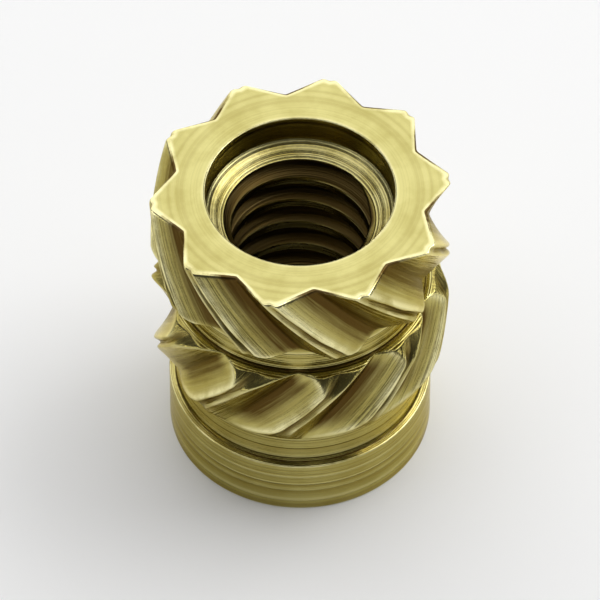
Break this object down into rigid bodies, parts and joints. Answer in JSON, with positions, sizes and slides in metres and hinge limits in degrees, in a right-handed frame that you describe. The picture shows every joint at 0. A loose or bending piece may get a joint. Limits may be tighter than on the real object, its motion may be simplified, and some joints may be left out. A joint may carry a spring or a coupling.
{
  "type": "threaded insert",
  "caption": "Brass threaded insert with opposed bands of diagonal teeth and a plain pilot collar, set in plastic to take a machine screw.",
  "frame": {"origin": "on the axis, in the end face of the pilot collar, which is the end that it stands on", "axes": "+Z along the axis from the pilot to the toothed head, which is where the screw goes in; X and Y across the sleeve"},
  "size_m": [0.0034, 0.0036, 0.004],
  "materials": {
    "brass": "bright turned brass with fine tool marks"
  },
  "bodies": {
    "root": {"threaded_insert": "brass"}
  },
  "joints": []
}
